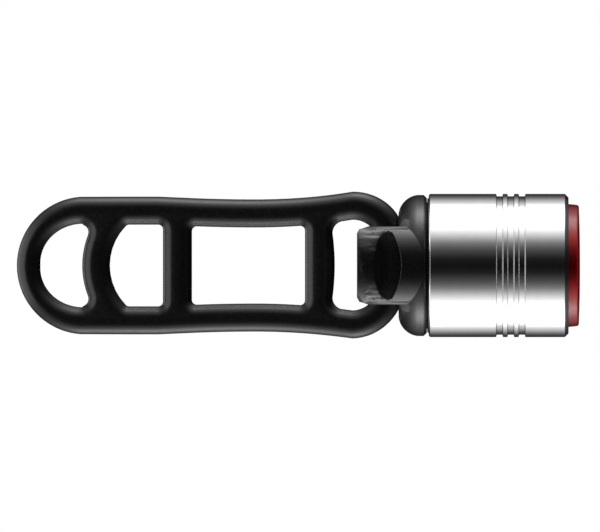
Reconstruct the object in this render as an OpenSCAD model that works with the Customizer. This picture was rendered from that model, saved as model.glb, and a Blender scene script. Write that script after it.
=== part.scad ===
// Bike rear light: a turned aluminium barrel with a red push lens, screwed onto a moulded
// mount cap. The cap's saddle sits against a seat post and a rubber ladder strap hangs on
// one of its two hooks. Millimetres; origin on the seat post's axis at the saddle's mid
// height, +X towards the lens, +Z up the post.

/* [Seat post saddle] */
// Diameter of the seat post that the saddle fits
post_d = 27.2; // [26:0.2:29]
// Radial room between the post and the saddle
post_clear = 0.1; // [0.05:0.01:0.15]
// Height of the saddle block along the post
saddle_h = 14.8; // [13.4:0.1:15.2]
// Length of the hooks from the saddle's bottom to their tips
saddle_reach = 7.5; // [7:0.1:8]
// Wall between the saddle's bottom and the cap's back face
saddle_web = 0.35; // [0.2:0.05:0.8]

/* [Strap hooks] */
// Height of the hooks' crown above the barrel's surface
hook_rise = 0.3; // [0.1:0.05:0.6]
// Radius of the round end of the hook plateau
hook_end_r = 10; // [9:0.1:11]
// Length of the hook plateau past the saddle's bottom
hook_land = 5.15; // [4.7:0.05:5.5]
// Bevel along the block's upper and lower edges
hook_bevel = 0.8; // [0.4:0.1:1.2]
// Slope of the conical lead-in on a hook's tip
ramp_angle = 16; // [10:1:22]
// Length of the lead-in from the tip to the crown
ramp_len = 1.3; // [1:0.1:1.6]
// Slant of the lead-in's edge across the hook
ramp_slant = 8; // [0:1:9]
// Distance of the strap seat's centre in front of the saddle's bottom
seat_setback = 1.6; // [1.4:0.05:1.8]
// Depth of the strap seat below the hook's crown
seat_depth = 1.65; // [1.5:0.05:1.8]
// Width of the strap seat's mouth
seat_w = 5.1; // [4.9:0.1:5.4]
// Distance of the strap seat's front wall from the seat's centre
seat_front = 2.5; // [2.3:0.05:2.7]
// Radius of the strap seat's curved front wall
seat_wall_r = 12; // [11.5:0.5:14]
// Radius of the relief pockets beside the hooks
pocket_r = 3.6; // [3.2:0.1:3.9]

/* [Mount cap] */
// Thickness of the cap from its back face to its flange
cap_t = 5.35; // [5.2:0.05:6.5]
// Step from the barrel's surface down to the cap's rim
cap_setin = 0.2; // [0:0.05:0.4]
// Radius of the cap's rear shoulder
shoulder_r = 4.1; // [3.4:0.1:4.6]
// Bevel at the cap's front edge
rim_bevel = 0.6; // [0.3:0.1:0.8]
// Depth of the battery well's floor behind the flange
well_sink = 0.8; // [0.4:0.1:1.4]
// Wall of the threaded boss around the battery well
boss_wall = 2; // [1.9:0.1:2.4]

/* [Coin cells] */
// Diameter of a coin cell
cell_d = 20; // [19:0.5:21]
// Height of a coin cell
cell_t = 3.2; // [2.8:0.1:3.6]
// Radial room around the cells
cell_clear = 0.3; // [0.28:0.01:0.45]
// Sheet thickness of the cells' cans
cell_sheet = 0.25; // [0.2:0.01:0.3]

/* [Barrel] */
// Length of the barrel
barrel_len = 26.35; // [25:0.05:30]
// Wall of the barrel over the thread
barrel_wall = 1.15; // [1.1:0.05:1.8]
// Open seam between the cap's flange and the barrel
seam = 0.35; // [0.2:0.05:0.5]
// Number of grip grooves
groove_count = 3; // [2:1:4]
// Width of a grip groove
groove_w = 1.3; // [1:0.05:1.6]
// Distance from one groove to the next
groove_pitch = 2.11; // [2:0.01:2.4]
// Depth of a grip groove
groove_depth = 0.45; // [0.3:0.05:0.6]
// Distance of the first groove from the barrel's rear end
groove_start = 12.7; // [10:0.1:14]
// Bevel at the barrel's front edge
front_bevel = 0.7; // [0.4:0.05:0.9]
// Bevel at the barrel's rear edge
rear_bevel = 0.25; // [0.1:0.05:0.35]
// Thickness of the lip that holds the lens in
lip_t = 0.8; // [0.6:0.05:1.2]

/* [Lens] */
// Step from the barrel's surface in to the lens
lens_setin = 1.85; // [1.8:0.05:2.2]
// Length of the lens in front of the barrel
lens_proud = 2.15; // [1.6:0.05:2.6]
// Height of the lens's crown
lens_crown = 0.2; // [0.1:0.05:0.4]
// Taper of the lens's side
lens_taper = 0.2; // [0.1:0.05:0.3]
// Thickness of the lens's end wall
lens_wall = 1.6; // [1.2:0.1:2]
// Push travel of the lens
lens_travel = 0.5; // [0.3:0.05:0.8]

/* [Light engine] */
// Length of the fitted battery spring
spring_len = 6; // [5:0.1:6.6]
// Wire of the battery spring
spring_wire = 0.7; // [0.5:0.05:0.9]
// Turns of the battery spring
spring_turns = 4; // [3:0.5:5]
// Thickness of the circuit board
board_t = 1.2; // [0.8:0.1:1.6]
// Diameter of the light emitting diode
led_d = 5; // [4:0.1:5.4]
// Length of the light emitting diode
led_len = 8.6; // [7.6:0.1:9]
// Side of the square push switch
switch_side = 6; // [5:0.1:6.2]
// Height of the push switch's housing
switch_h = 3.5; // [3:0.1:4]
// Room between the push switch's corners and the sleeve
switch_room = 0.3; // [0.2:0.05:0.6]

/* [Strap] */
// Width of the strap's rails
strap_w = 5.3; // [4.8:0.1:5.5]
// Width of the strap's bars
bar_w = 5.5; // [5:0.1:5.7]
// Thickness of the strap
strap_t = 3; // [2.6:0.1:3.4]
// Height of the strap's half-round inner face
strap_belly = 2.25; // [1.9:0.05:2.4]
// Length from the hook loop's bar to the finger end
strap_len = 70.7; // [66:0.1:76]
// Room between the saddle block and the loop's rails
loop_room = 1.2; // [1:0.05:1.5]
// Step of the rails in to the waist behind the loop
waist_in = 1.44; // [1:0.02:1.6]
// Step of the rails out again towards the finger end
waist_out = 0.55; // [0.2:0.05:0.8]
// Distance of the waist from the hook loop's bar
waist_u = 25.3; // [24.5:0.1:27]
// Distance of the bar nearest the hook
bar_hook_u = 13.1; // [12.6:0.1:13.8]
// Distance of the middle bar
bar_mid_u = 40.2; // [38.5:0.1:41]
// Distance of the curved bar's crown
bar_curved_u = 55.6; // [54.5:0.1:56.5]
// Radius of the curved bar
bar_curved_r = 13.2; // [12.5:0.1:15]
// Diameter of the round bar that hangs on the hook
loop_bar_d = 3; // [2.6:0.1:3.2]
// Rounding in the corners of the strap's windows
window_r = 0.9; // [0.6:0.1:1.2]
// Rounding in the corners of the finger loop
finger_r = 1.4; // [1:0.1:1.8]
// Rounding in the corners between the hook loop and its bar
loop_web_r = 3.4; // [2.8:0.1:3.6]

/* [Hidden] */
$fn = 96;
// Overlap of a cutter past the face that it opens
cut = 1;
// Small room between pieces that touch in use
touch = 0.02;
// Fit room of pieces that slide or turn on each other
run = 0.1;
thread_clear = 0.05;
saddle_r = post_d / 2 + post_clear;
well_r = cell_d / 2 + cell_clear;
thread_r = well_r + boss_wall;
thread_bore_r = thread_r + thread_clear;
barrel_r = thread_bore_r + barrel_wall;
crown_r = barrel_r + hook_rise;
cap_r = barrel_r - cap_setin;
// Stations along the light's axis
tip_x = saddle_r - saddle_reach;
cap_x = saddle_r + saddle_web;
flange_x = cap_x + cap_t;
barrel_x = flange_x + seam;
front_x = barrel_x + barrel_len;
lens_x = front_x + lens_proud;
well_x = flange_x - well_sink;
plate_t = 0.3;
contact_rise = 0.7;
cells_x = well_x + plate_t + contact_rise;
cells_end = cells_x + 2 * cell_t;
boss_margin = 0.6;
boss_end = cells_end + boss_margin;
board_x = cells_end + spring_len;
board_front = board_x + board_t;
// Strap seat on the hooks
seat_x = saddle_r - seat_setback;
seat_r = (pow(seat_w / 2, 2) + seat_depth * seat_depth) / (2 * seat_depth);
seat_axis_y = crown_r - seat_depth + seat_r;
loop_bar_r = loop_bar_d / 2;
seat_gap = 0.12;
loop_y = crown_r - seat_depth + loop_bar_r + seat_gap;
// Strap swung clear of the post at rest
post_gap = 0.2;
strap_in = 1.4;
strap_tilt = atan2(seat_x, loop_y) - acos((post_d / 2 + strap_in + post_gap) / norm([seat_x, loop_y]));
// Seal groove at the boss's root
o_ring_r = 0.45;
o_ring_sink = 0.4;
o_ring_mid_r = thread_r - o_ring_sink + o_ring_r;
o_ring_room_r = o_ring_mid_r + o_ring_r + touch;
o_ring_room = 2 * o_ring_r + run;
// Barrel bore, lip and lens
bore_step = 0.2;
bore_r = thread_r - bore_step;
bore_step_room = 0.4;
bore_step_x = boss_end + bore_step_room;
lip_x = front_x - lip_t;
lens_r = barrel_r - lens_setin;
lens_gap = 0.15;
lip_r = lens_r + lens_gap;
seal_t = 0.6;
seal_x = lip_x - seal_t;
flange_t = 0.8;
lens_flange_r = bore_r - run;
lens_flange_x = seal_x - touch - flange_t;
lens_skirt = 1.4;
lens_in_r = lens_r - lens_skirt;
lens_in_x = lens_x - lens_crown - lens_wall;
lens_edge = 0.4;
// Sleeve and board
sleeve_room = 0.15;
sleeve_r = bore_r - sleeve_room;
sleeve_wall = 1.5;
sleeve_in_r = sleeve_r - sleeve_wall;
board_ledge = 0.65;
board_room = 0.05;
board_r = sleeve_in_r + board_ledge;
board_room_r = board_r + board_room;
sleeve_skirt = 1.4;
sleeve_x = board_x - sleeve_skirt;
sleeve_end = lens_flange_x - lens_travel - run;
retainer_t = 0.8;
retainer_w = 0.9;
key_w = 3;
key_room = 0.15;
key_t = 1.15;
key_in_r = well_r + key_room;
key_out_r = key_in_r + key_t;
key_floor = 1.8;
key_x = well_x + key_floor;
// Push switch under the lens, with its corners close to the sleeve
switch_off = sqrt(pow(sleeve_in_r - switch_room, 2) - pow(switch_side / 2, 2)) - switch_side / 2;
stem_r = 1.75;
push_post_r = 2.1;
push_post_len = 0.6;
push_post_x = lens_flange_x - push_post_len;
push_gap = 0.05;
stem_end = push_post_x - push_gap;
stem_sink = 1.2;
cover_t = 0.3;
switch_top = board_front + switch_h;
leg_side = 0.6;
leg_inset = 0.75;
leg_span = switch_side - 2 * leg_inset;
leg_tail = 0.6;
leg_len = board_t + leg_tail;
leg_hole_r = 0.5;
// Diode on the axis, or as far off it as the switch needs
led_lift = 1.7;
led_x = board_front + led_lift;
led_rim_w = 0.4;
led_rim_t = 1;
led_room = 0.3;
led_z = max(0, switch_side / 2 + led_room + led_d / 2 + led_rim_w - switch_off);
lead_side = 0.5;
lead_span = 2.54;
// Small parts on the board, placed from the sleeve's wall
chip_t = 1.4;
chip_len = 5;
chip_w = 3.9;
chip_lift = 0.1;
chip_room = 1.2;
chip_legs_n = 4;
chip_leg_t = 0.8;
chip_leg_len = 0.9;
chip_leg_w = 0.42;
chip_leg_pitch = 1.02;
chip_z = sleeve_in_r - chip_room - chip_leg_len - chip_w / 2;
resistor_t = 0.5;
resistor_w = 1.25;
resistor_len = 2;
resistor_room = 4.85;
resistor_z = 1.6;
resistor_y = sleeve_in_r - resistor_room;
capacitor_t = 1.2;
capacitor_w = 1.6;
capacitor_len = 3.2;
capacitor_room = 3.45;
capacitor_z = -3.4;
capacitor_y = sleeve_in_r - capacitor_room;
// Strap outline in its own flat frame
rail_loop_v = saddle_h / 2 + loop_room + strap_w / 2;
rail_waist_v = rail_loop_v - waist_in;
rail_end_v = rail_waist_v + waist_out;
end_mid_u = strap_len - strap_w / 2 - rail_end_v;
loop_corner_r = 7.5;
loop_corner_u = 6.9;
loop_sweep = 62;
loop_bar_v = rail_loop_v - loop_corner_r * (1 - cos(loop_sweep)) + loop_bar_r * 0.9;
rail_lap = 0.4;
flat_u = bar_mid_u + bar_w / 2;
// Radii of the rails' two long bends, which meet at the waist
loop_span = waist_u - loop_corner_u;
loop_r = (loop_span * loop_span + waist_in * waist_in) / (2 * waist_in);
flat_span = flat_u - waist_u;
flat_r = (flat_span * flat_span + waist_out * waist_out) / (2 * waist_out);
function bend_rise(r, du) = r - sqrt(r * r - du * du);
function rail_v(u) = rail_waist_v + (
    u < waist_u ? bend_rise(loop_r, waist_u - u) :
    u < flat_u ? bend_rise(flat_r, u - waist_u) :
    waist_out
);
// Levels of the strap's section, counted from the loop bar's axis
section_steps = 9;
section_step = 180 / section_steps;
belly_w = strap_belly - strap_in;
back_w = strap_t - strap_in;
back_bevel = 0.6;
crown_k = floor(section_steps / 2);
crown_w = belly_w - strap_belly * sin(crown_k * section_step);
// How far a corner's rounding bites into the rail and the bar beside it
web_bite = 0.03;

// Turns children from their own Z onto the light's axis
module on_axis(x = 0) {
    translate([x, 0, 0])
        rotate([0, 90, 0])
            children();
}

// A tube on the light's axis from x0 to x1
module tube(x0, x1, r_out, r_in) {
    on_axis()
        rotate_extrude()
            translate([r_in, x0])
                square([r_out - r_in, x1 - x0]);
}

// A solid bar on the light's axis from x0 to x1
module round_bar(x0, x1, r) {
    on_axis(x0)
        cylinder(h = x1 - x0, r = r);
}

// Dome of the cap with its rounded shoulder and bevelled rim
module cap_dome() {
    // The shoulder's circle runs a little past both faces, so they cut it cleanly
    over = 0.03;
    mid_r = cap_r - shoulder_r + over;
    mid_x = cap_x + shoulder_r - over;
    on_axis()
        rotate_extrude()
            difference() {
                intersection() {
                    translate([0, cap_x])
                        square([cap_r, cap_t]);
                    union() {
                        translate([0, cap_x - cut])
                            square([mid_r, cap_t + 2 * cut]);
                        translate([mid_r, mid_x])
                            circle(r = shoulder_r);
                        translate([mid_r - cut, mid_x])
                            square([shoulder_r + 2 * cut, cap_t]);
                    }
                }
                polygon([
                    [cap_r - rim_bevel, flange_x],
                    [cap_r + cut, flange_x - rim_bevel - cut],
                    [cap_r + cut, flange_x + cut],
                    [cap_r - rim_bevel, flange_x + cut]
                ]);
            }
}

// Saddle block: a D in side view, crowned round the light's axis
module saddle_block() {
    half = saddle_h / 2;
    flat_z = half - hook_bevel;
    bevel_y = sqrt(crown_r * crown_r - half * half) - hook_bevel;
    bevel_end_y = bevel_y + 2 * hook_bevel;
    round_x = saddle_r + hook_land - hook_end_r;
    intersection() {
        rotate([90, 0, 0])
            translate([0, 0, -crown_r - cut])
                linear_extrude(2 * (crown_r + cut))
                    intersection() {
                        translate([tip_x, -half])
                            square([saddle_reach + hook_land + cut, saddle_h]);
                        union() {
                            translate([tip_x, -half - cut])
                                square([round_x - tip_x, saddle_h + 2 * cut]);
                            translate([round_x, 0])
                                circle(r = hook_end_r);
                        }
                    }
        on_axis(tip_x - cut)
            linear_extrude(saddle_reach + hook_land + 3 * cut)
                intersection() {
                    circle(r = crown_r);
                    polygon([
                        [half, -bevel_y],
                        [half, bevel_y],
                        [flat_z, bevel_end_y],
                        [flat_z, crown_r + cut],
                        [-flat_z, crown_r + cut],
                        [-flat_z, bevel_end_y],
                        [-half, bevel_y],
                        [-half, -bevel_y],
                        [-flat_z, -bevel_end_y],
                        [-flat_z, -crown_r - cut],
                        [flat_z, -crown_r - cut],
                        [flat_z, -bevel_end_y]
                    ]);
                }
    }
}

module mount_cap() {
    pocket_depth = 1.85;
    pocket_h = saddle_h / 2 + pocket_depth;
    pocket_ahead = 0.9;
    pocket_in = 2.4;
    floor_rise = 0.05;
    seat_floor_y = crown_r - seat_depth + floor_rise;
    ramp_x = tip_x + ramp_len;
    ramp_run = 2 * saddle_reach;
    ramp_over = saddle_reach / 2;
    color("#1b1b1d")
        difference() {
            union() {
                cap_dome();
                saddle_block();
                round_bar(flange_x - cut, boss_end, thread_r);
            }
            // Saddle for the post
            translate([0, 0, -saddle_h])
                cylinder(h = 2 * saddle_h, r = saddle_r);
            for (s = [-1, 1]) {
                // Seat for the strap's loop bar, with a curved front wall
                intersection() {
                    union() {
                        translate([seat_x, s * seat_axis_y, -saddle_h])
                            cylinder(h = 2 * saddle_h, r = seat_r);
                        translate([seat_x, s > 0 ? seat_floor_y : -seat_floor_y - saddle_reach, -saddle_h])
                            cube([saddle_reach, saddle_reach, 2 * saddle_h]);
                    }
                    translate([seat_x + seat_front - seat_wall_r, 0, 0])
                        rotate([90 * -s, 0, 0])
                            cylinder(h = 2 * crown_r, r = seat_wall_r);
                }
                // Conical lead-in on the tip
                translate([ramp_x, 0, 0])
                    rotate([0, s * ramp_slant, 0])
                        on_axis()
                            rotate_extrude(angle = 180, start = s > 0 ? 0 : 180)
                                polygon([
                                    [crown_r + ramp_over * tan(ramp_angle), ramp_over],
                                    [crown_r - ramp_run * tan(ramp_angle), -ramp_run],
                                    [2 * crown_r, -ramp_run],
                                    [2 * crown_r, ramp_over]
                                ]);
                // Relief pockets for the loop's corners
                for (t = [-1, 1])
                    translate([seat_x + pocket_ahead, s * (loop_y - pocket_in), t > 0 ? saddle_h / 2 : -pocket_h])
                        cylinder(h = pocket_depth, r = pocket_r);
                // Slots for the sleeve's keys
                intersection() {
                    tube(key_x - key_room, boss_end + cut, key_out_r + key_room, well_r - cut);
                    translate([0, s > 0 ? 0 : -2 * thread_r, -key_w / 2 - key_room])
                        cube([boss_end + 2 * cut, 2 * thread_r, key_w + 2 * key_room]);
                }
            }
            // Battery well
            round_bar(well_x, boss_end + cut, well_r);
            // Groove for the seal
            tube(flange_x, flange_x + o_ring_room, thread_r + cut, thread_r - o_ring_sink);
        }
}

module cap_o_ring() {
    color("#2a2a2a")
        on_axis(flange_x + o_ring_r + run / 2)
            rotate_extrude()
                translate([o_ring_mid_r, 0])
                    circle(r = o_ring_r, $fn = 24);
}

module rear_contact() {
    plate_in = 0.6;
    finger_w = 2.4;
    finger_root_r = 2.2;
    finger_tip_r = cell_d / 2 - finger_w;
    finger_land = 1.2;
    finger_top_r = finger_tip_r - finger_land;
    arm_t = 0.2;
    arm_root = 1;
    arm_root_r = cell_d / 2 - arm_root;
    arm_room = 0.06;
    arm_in_r = cell_d / 2 + arm_room;
    arm_angle = 16;
    fold_room = 0.03;
    fold_x = boss_end + fold_room;
    color("#d9c27a")
        union() {
            round_bar(well_x, well_x + plate_t, cell_d / 2 - plate_in);
            for (a = [60, 180, 300])
                rotate([a, 0, 0])
                    translate([0, finger_w / 2, 0])
                        rotate([90, 0, 0])
                            linear_extrude(finger_w)
                                polygon([
                                    [well_x + plate_t / 2, finger_root_r],
                                    [cells_x - touch - plate_t, finger_top_r],
                                    [cells_x - touch - plate_t, finger_tip_r],
                                    [cells_x - touch, finger_tip_r],
                                    [cells_x - touch, finger_top_r - arm_t],
                                    [well_x + 1.5 * plate_t, finger_root_r]
                                ]);
            on_axis()
                rotate_extrude(angle = arm_angle, start = 180 - arm_angle / 2)
                    polygon([
                        [arm_root_r, well_x],
                        [arm_in_r + arm_t, well_x],
                        [arm_in_r + arm_t, fold_x],
                        [thread_r - run, fold_x],
                        [thread_r - run, fold_x + arm_t],
                        [arm_in_r, fold_x + arm_t],
                        [arm_in_r, well_x + arm_t],
                        [arm_root_r, well_x + arm_t]
                    ]);
        }
}

// Section lines of a coin cell, drawn from the can's flat face
can_r = cell_d / 2;
cap_show = 0.3;
can_h = cell_t - cap_show;
seal_w = 0.3;
crimp = 0.85;

module cell_can(x) {
    color("#c9ccd0")
        on_axis(x)
            rotate_extrude()
                polygon([
                    [0, cell_t],
                    [can_r, cell_t],
                    [can_r, cell_t - can_h],
                    [can_r - crimp, cell_t - can_h],
                    [can_r - crimp, cell_t - can_h + cell_sheet],
                    [can_r - cell_sheet, cell_t - can_h + cell_sheet],
                    [can_r - cell_sheet, cell_t - cell_sheet],
                    [0, cell_t - cell_sheet]
                ]);
}

module cell_gasket(x) {
    color("#3b3f45")
        on_axis(x)
            rotate_extrude()
                polygon([
                    [can_r - cell_sheet - touch, cell_t - cell_sheet - touch],
                    [can_r - cell_sheet - touch, cell_t - can_h + cell_sheet + touch],
                    [can_r - crimp - touch, cell_t - can_h + cell_sheet + touch],
                    [can_r - crimp - touch, cell_t - can_h],
                    [can_r - crimp - seal_w, cell_t - can_h],
                    [can_r - crimp - seal_w, cell_t - can_h + cell_sheet + seal_w],
                    [can_r - cell_sheet - seal_w, cell_t - can_h + cell_sheet + seal_w],
                    [can_r - cell_sheet - seal_w, cell_t - cell_sheet - touch]
                ]);
}

module cell_cap(x) {
    cap_out = can_r - crimp - seal_w - touch;
    foot_out = can_r - cell_sheet - seal_w - touch;
    foot_x = cell_t - can_h + cell_sheet + seal_w + touch;
    color("#d4d6d9")
        on_axis(x)
            rotate_extrude()
                polygon([
                    [0, 0],
                    [cap_out - cell_sheet, 0],
                    [cap_out, cell_sheet],
                    [cap_out, foot_x],
                    [foot_out, foot_x],
                    [foot_out, cell_t - 2 * cell_sheet],
                    [foot_out - cell_sheet, cell_t - 2 * cell_sheet],
                    [foot_out - cell_sheet, foot_x + cell_sheet],
                    [cap_out - cell_sheet, foot_x + cell_sheet],
                    [cap_out - cell_sheet, cell_sheet],
                    [0, cell_sheet]
                ]);
}

module rear_cell_can() {
    cell_can(cells_x);
}

module rear_cell_gasket() {
    cell_gasket(cells_x);
}

module rear_cell_cap() {
    cell_cap(cells_x);
}

module front_cell_can() {
    cell_can(cells_x + cell_t);
}

module front_cell_gasket() {
    cell_gasket(cells_x + cell_t);
}

module front_cell_cap() {
    cell_cap(cells_x + cell_t);
}

module engine_sleeve() {
    color("#e6e4dc")
        difference() {
            union() {
                tube(sleeve_x, sleeve_end, sleeve_r, sleeve_in_r);
                for (s = [0, 180])
                    rotate([s, 0, 0])
                        intersection() {
                            tube(key_x, sleeve_x + cut, key_out_r, key_in_r);
                            translate([0, 0, -key_w / 2])
                                cube([sleeve_x + 2 * cut, 2 * thread_r, key_w]);
                        }
            }
            round_bar(sleeve_x, board_front, board_room_r);
        }
}

module board_retainer() {
    color("#cfcbc0")
        tube(board_x - retainer_t - touch, board_x - touch, board_r, board_r - retainer_w);
}

// The holes that the leads and legs pass through
module board_holes() {
    for (s = [-1, 1])
        translate([board_x - cut, s * lead_span / 2, led_z])
            rotate([0, 90, 0])
                cylinder(h = board_t + 2 * cut, r = leg_hole_r, $fn = 24);
    for (s = [-1, 1], t = [-1, 1])
        translate([board_x - cut, s * leg_span / 2, t * leg_span / 2 - switch_off])
            rotate([0, 90, 0])
                cylinder(h = board_t + 2 * cut, r = leg_hole_r, $fn = 24);
}

module circuit_board() {
    color("#1f6b3a")
        difference() {
            round_bar(board_x, board_front, board_r);
            board_holes();
        }
}

// Points of a conical coil's wire, ring by ring
spring_in = 4.4;
spring_cone = 2.4;
spring_top_r = cell_d / 2 - spring_in;
spring_tip_r = spring_top_r - spring_cone;
spring_steps = 16;
spring_sides = 8;
function coil_mid(t) = let (
    r = spring_top_r + (spring_tip_r - spring_top_r) * t,
    a = 360 * spring_turns * t,
    travel = spring_len - spring_wire - 2 * touch
) [board_x - touch - spring_wire / 2 - travel * t, r * cos(a), r * sin(a)];
function coil_ring(t, sides) = let (
    a = 360 * spring_turns * t,
    mid = coil_mid(t)
) [
    for (k = [0 : sides - 1])
        let (b = 360 * k / sides)
            mid + spring_wire / 2 * (cos(b) * [0, cos(a), sin(a)] + sin(b) * [1, 0, 0])
];

module battery_spring() {
    n = spring_turns * spring_steps;
    m = spring_sides;
    rings = [for (i = [0 : n]) each coil_ring(i / n, m)];
    skin = [
        for (i = [0 : n - 1], k = [0 : m - 1])
            each let (
                a = i * m + k,
                b = i * m + (k + 1) % m
            ) [[a, b, a + m], [b, b + m, a + m]]
    ];
    color("#c8b06a")
        polyhedron(
            points = rings,
            faces = concat(
                skin,
                [[for (k = [m - 1 : -1 : 0]) k]],
                [[for (k = [0 : m - 1]) n * m + k]]
            )
        );
}

module led_body() {
    led_r = led_d / 2;
    color("#c8202a")
        translate([0, 0, led_z])
            difference() {
                on_axis(led_x)
                    rotate_extrude()
                        union() {
                            square([led_r + led_rim_w, led_rim_t]);
                            intersection() {
                                square([led_r, led_len]);
                                union() {
                                    square([led_r, led_len - led_r]);
                                    translate([0, led_len - led_r])
                                        circle(r = led_r + touch);
                                }
                            }
                        }
                // Flat on the rim that marks the cathode
                translate([led_x - cut, led_r + led_rim_w / 4, -led_d])
                    cube([led_rim_t + cut, led_d, 2 * led_d]);
            }
}

module led_leads() {
    color("#c0c3c6")
        for (s = [-1, 1])
            translate([board_x - leg_tail, s * lead_span / 2 - lead_side / 2, led_z - lead_side / 2])
                cube([led_x - board_x + leg_tail, lead_side, lead_side]);
}

module switch_housing() {
    body_h = switch_h - cover_t;
    color("#26282b")
        difference() {
            translate([board_front, -switch_side / 2, -switch_off - switch_side / 2])
                cube([body_h, switch_side, switch_side]);
            translate([switch_top - cover_t - stem_sink - lens_travel - run, 0, -switch_off])
                rotate([0, 90, 0])
                    cylinder(h = switch_h, r = stem_r + run);
        }
}

module switch_cover() {
    color("#b9bcc0")
        difference() {
            translate([switch_top - cover_t, -switch_side / 2, -switch_off - switch_side / 2])
                cube([cover_t, switch_side, switch_side]);
            translate([switch_top - cut, 0, -switch_off])
                rotate([0, 90, 0])
                    cylinder(h = 2 * cut, r = stem_r + run);
        }
}

module switch_legs() {
    color("#c0c3c6")
        for (s = [-1, 1], t = [-1, 1])
            translate([
                board_front - leg_len,
                s * leg_span / 2 - leg_side / 2,
                t * leg_span / 2 - switch_off - leg_side / 2
            ])
                cube([leg_len, leg_side, leg_side]);
}

module switch_stem() {
    color("#2f3236")
        translate([0, 0, -switch_off])
            round_bar(switch_top - cover_t - stem_sink, stem_end, stem_r);
}

module driver_chip() {
    color("#202225")
        translate([board_front + chip_lift, -chip_len / 2, chip_z - chip_w / 2])
            cube([chip_t, chip_len, chip_w]);
}

module chip_legs() {
    color("#c0c3c6")
        for (s = [-1, 1], k = [0 : chip_legs_n - 1])
            translate([
                board_front,
                (k - (chip_legs_n - 1) / 2) * chip_leg_pitch - chip_leg_w / 2,
                chip_z + s * (chip_w + chip_leg_len) / 2 - chip_leg_len / 2
            ])
                cube([chip_leg_t, chip_leg_w, chip_leg_len]);
}

module resistors() {
    color("#2b2d33")
        for (s = [-1, 1])
            translate([board_front, s * resistor_y - resistor_w / 2, resistor_z])
                cube([resistor_t, resistor_w, resistor_len]);
}

module capacitor() {
    color("#9a7a55")
        translate([board_front, capacitor_y - capacitor_w / 2, capacitor_z])
            cube([capacitor_t, capacitor_w, capacitor_len]);
}

module barrel() {
    color("#d7d9dc")
        on_axis()
            rotate_extrude()
                polygon(concat(
                    [
                        [o_ring_room_r, barrel_x],
                        [barrel_r - rear_bevel, barrel_x],
                        [barrel_r, barrel_x + rear_bevel]
                    ],
                    [
                        for (k = [0 : groove_count - 1])
                            each let (g = barrel_x + groove_start + k * groove_pitch) [
                                [barrel_r, g],
                                [barrel_r - groove_depth, g],
                                [barrel_r - groove_depth, g + groove_w],
                                [barrel_r, g + groove_w]
                            ]
                    ],
                    [
                        [barrel_r, front_x - front_bevel],
                        [barrel_r - front_bevel, front_x],
                        [lip_r, front_x],
                        [lip_r, lip_x],
                        [bore_r, lip_x],
                        [bore_r, bore_step_x],
                        [thread_bore_r, bore_step_x],
                        [thread_bore_r, flange_x + o_ring_room],
                        [o_ring_room_r, flange_x + o_ring_room]
                    ]
                ));
}

module lens_seal() {
    color("#333333")
        tube(seal_x, lip_x - touch, bore_r - touch, lip_r - lens_gap + touch);
}

module lens_button() {
    crown_ball = (lens_r * lens_r + lens_crown * lens_crown) / (2 * lens_crown);
    tip_r = lens_r - lens_taper;
    color("#c3121c")
        union() {
            on_axis()
                rotate_extrude()
                    intersection() {
                        polygon([
                            [0, lens_x],
                            [tip_r - lens_edge, lens_x],
                            [tip_r, lens_x - lens_crown - lens_edge],
                            [lens_r, front_x - lip_t],
                            [lens_r, lens_flange_x + flange_t],
                            [lens_flange_r, lens_flange_x + flange_t],
                            [lens_flange_r, lens_flange_x],
                            [lens_in_r, lens_flange_x],
                            [lens_in_r, lens_in_x],
                            [0, lens_in_x]
                        ]);
                        translate([0, lens_x - crown_ball])
                            circle(r = crown_ball, $fn = 256);
                    }
            // Post that pushes the switch
            translate([0, 0, -switch_off])
                round_bar(push_post_x, lens_in_x + lens_wall / 2, push_post_r);
        }
}

// Section of a rail or bar: half round towards the hooks, flat with bevelled edges outside
module strap_section(w) {
    polygon(concat(
        [
            for (k = [0 : section_steps])
                [-w / 2 * cos(k * section_step), belly_w - strap_belly * sin(k * section_step)]
        ],
        [
            [w / 2 - back_bevel, back_w],
            [back_bevel - w / 2, back_w]
        ]
    ));
}

// A straight length of strap from a point, running at an angle
module strap_run(u, v, angle, len, w) {
    translate([u, v, 0])
        rotate(angle)
            rotate([90, 0, 90])
                linear_extrude(len)
                    strap_section(w);
}

// A bend of strap of radius r from a point on it, which lies at an angle from the bend's centre
module strap_bend(u, v, r, at, sweep, w, back = false) {
    translate([u, v, 0])
        rotate(at)
            translate([-r, 0, 0])
                rotate_extrude(angle = sweep, start = back ? -sweep : 0)
                    translate([r, 0])
                        strap_section(w);
}

// Spool that leaves the strap's own section in the rounding of a corner
module web_spool(r) {
    reach = r + web_bite;
    rotate_extrude()
        polygon(concat(
            [
                [0, crown_w - cut],
                [reach + bar_w / 2 * (1 - cos(crown_k * section_step)), crown_w - cut]
            ],
            [
                for (k = [crown_k : -1 : 0])
                    [
                        reach + bar_w / 2 * (1 - cos(k * section_step)),
                        belly_w - strap_belly * sin(k * section_step)
                    ]
            ],
            [
                [reach + back_bevel, back_w],
                [reach + back_bevel, back_w + cut],
                [0, back_w + cut]
            ]
        ));
}

// Rounded corner of a window, from the rounding's centre to the crossing of bar and rail
module corner_web(u, v, r, to_bar, crossing) {
    reach = r + strap_w / 2;
    difference() {
        translate([0, 0, crown_w])
            linear_extrude(back_w - crown_w)
                polygon([
                    [u, v],
                    [u + reach * cos(to_bar), v + reach * sin(to_bar)],
                    crossing,
                    [u, v + reach]
                ]);
        translate([u, v, 0])
            web_spool(r);
    }
}

// Corner beside a straight bar, on its hook side or its finger side
module bar_web(bar_u, side, r) {
    u = bar_u + side * (bar_w / 2 + r);
    corner_web(u, rail_v(u) - strap_w / 2 - r, r, side > 0 ? 180 : 0, [bar_u, rail_v(bar_u)]);
}

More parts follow.
